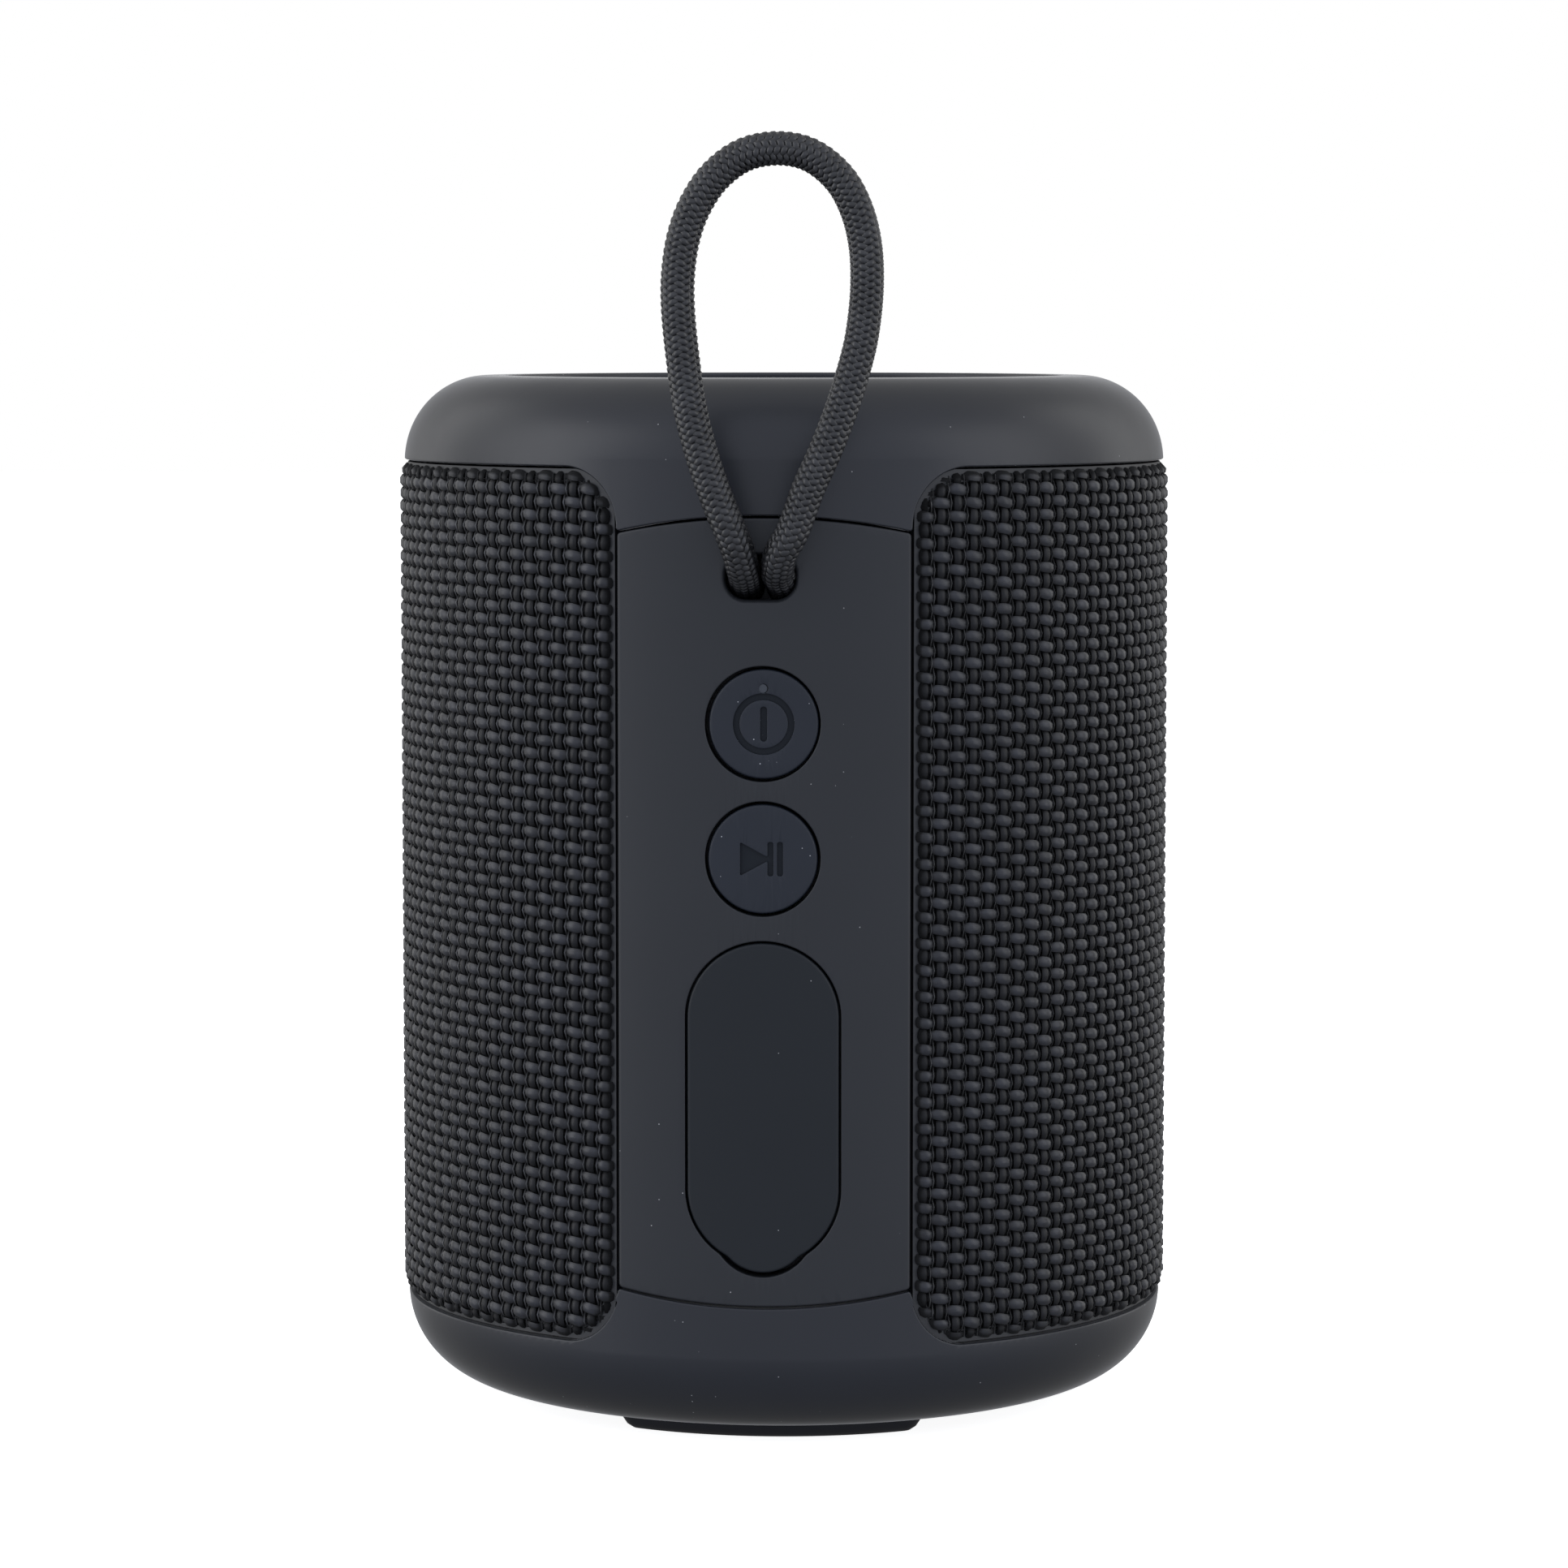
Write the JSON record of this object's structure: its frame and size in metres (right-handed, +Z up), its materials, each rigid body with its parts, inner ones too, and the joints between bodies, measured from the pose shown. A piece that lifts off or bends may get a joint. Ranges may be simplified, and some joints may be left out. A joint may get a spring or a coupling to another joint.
{
  "type": "portable speaker",
  "caption": "Cylindrical portable speaker with a woven grille, rounded caps and a control spine with buttons, a rubber port cover and a braided lanyard loop.",
  "frame": {"origin": "on the ground plane under the middle of the body, between the feet", "axes": "+Z up along the body, -Y out of the control spine, +X to the right of someone facing the spine"},
  "size_m": [0.092, 0.0987, 0.1496],
  "materials": {
    "cap_plastic": "soft-touch",
    "spine_plastic": "fine matte",
    "button_rubber": "matte",
    "cover_rubber": "matte",
    "foot_rubber": "matte",
    "grille_cloth": "plain weave",
    "lanyard_cord": "fine braid",
    "inner_plastic": "satin",
    "light_guide": "frosted",
    "switch_plastic": "satin",
    "plunger_plastic": "satin",
    "steel": "satin",
    "ferrite": "dull",
    "copper_coil": "enamelled",
    "spider_cloth": "pressed cloth",
    "cone_paper": "pressed",
    "soft_rubber": "matte",
    "radiator_plastic": "satin",
    "wire_sleeve": "sleeved",
    "cell_wrap": "shrink wrap",
    "board_green": "solder mask",
    "shield_can": "tinned"
  },
  "bodies": {
    "root": {"top_cap": "cap_plastic", "top_trim": "cap_plastic", "bottom_cap": "cap_plastic", "foot_front": "foot_rubber", "foot_left": "foot_rubber", "foot_right": "foot_rubber", "spine_panel": "spine_plastic", "grille_frame": "inner_plastic", "grille_fabric": "grille_cloth", "button_guide": "inner_plastic", "power_switch": "switch_plastic", "play_switch": "switch_plastic", "status_light": "light_guide", "port_bezel": "inner_plastic", "port_cover_anchor": "cover_rubber", "usb_socket": "steel", "aux_socket": "switch_plastic", "lanyard_tails": "lanyard_cord", "lanyard_clamp": "inner_plastic", "chassis": "inner_plastic", "chassis_base": "inner_plastic", "chassis_gasket": "soft_rubber", "left_basket": "steel", "left_magnet": "ferrite", "left_top_plate": "steel", "left_yoke": "steel", "left_driver_lead": "wire_sleeve", "right_basket": "steel", "right_magnet": "ferrite", "right_top_plate": "steel", "right_yoke": "steel", "right_driver_lead": "wire_sleeve", "radiator_frame": "steel", "battery_cell": "cell_wrap", "battery_cradle": "inner_plastic", "battery_lead": "wire_sleeve", "main_board": "board_green", "bluetooth_module": "shield_can", "frame_screws": "steel", "cap_screws": "steel"},
    "power_button": {"power_button": "button_rubber", "power_light_guide": "light_guide"},
    "power_plunger": {"power_switch_plunger": "plunger_plastic"},
    "play_button": {"play_button": "button_rubber"},
    "play_plunger": {"play_switch_plunger": "plunger_plastic"},
    "port_cover": {"port_cover": "cover_rubber"},
    "lanyard": {"lanyard_loop": "lanyard_cord"},
    "left_cone": {"left_cone": "cone_paper", "left_dust_cap": "cone_paper", "left_voice_coil": "copper_coil", "left_surround": "soft_rubber", "left_spider": "spider_cloth"},
    "right_cone": {"right_cone": "cone_paper", "right_dust_cap": "cone_paper", "right_voice_coil": "copper_coil", "right_surround": "soft_rubber", "right_spider": "spider_cloth"},
    "radiator": {"radiator_plate": "radiator_plastic", "radiator_surround": "soft_rubber"}
  },
  "joints": [
    {"name": "power_button_press", "type": "slide", "parent": "root", "child": "power_button", "axis": [0, 1, 0], "range_m": [0, 0.0006], "stiffness_N_per_m": 1500},
    {"name": "power_plunger_press", "type": "slide", "parent": "root", "child": "power_plunger", "axis": [0, 1, 0], "range_m": [0, 0.0006]},
    {"name": "play_button_press", "type": "slide", "parent": "root", "child": "play_button", "axis": [0, 1, 0], "range_m": [0, 0.0006], "stiffness_N_per_m": 1500},
    {"name": "play_plunger_press", "type": "slide", "parent": "root", "child": "play_plunger", "axis": [0, 1, 0], "range_m": [0, 0.0006]},
    {"name": "port_cover_fold", "type": "hinge", "parent": "root", "child": "port_cover", "pos_m": [0, -0.04545, 0.0514], "axis": [-1, 0, 0], "range_deg": [0, 105], "stiffness_Nm_per_rad": 0.002},
    {"name": "lanyard_swing", "type": "hinge", "parent": "root", "child": "lanyard", "pos_m": [0, -0.0491, 0.1035], "axis": [1, 0, 0], "range_deg": [0, 135], "stiffness_Nm_per_rad": 0.004, "deforming": ["lanyard_loop"]},
    {"name": "left_cone_drive", "type": "slide", "parent": "root", "child": "left_cone", "axis": [-1, 0, 0], "range_m": [-0.0015, 0.0015], "stiffness_N_per_m": 1500, "deforming": ["left_surround", "left_spider"]},
    {"name": "right_cone_drive", "type": "slide", "parent": "root", "child": "right_cone", "axis": [1, 0, 0], "range_m": [-0.0015, 0.0015], "stiffness_N_per_m": 1500, "deforming": ["right_surround", "right_spider"]},
    {"name": "radiator_drive", "type": "slide", "parent": "root", "child": "radiator", "axis": [0, 1, 0], "range_m": [-0.002, 0.002], "stiffness_N_per_m": 1200, "deforming": ["radiator_surround"]}
  ],
  "couplings": [
    {"joint": "power_plunger_press", "follows": "power_button_press", "ratio": 1},
    {"joint": "play_plunger_press", "follows": "play_button_press", "ratio": 1}
  ]
}
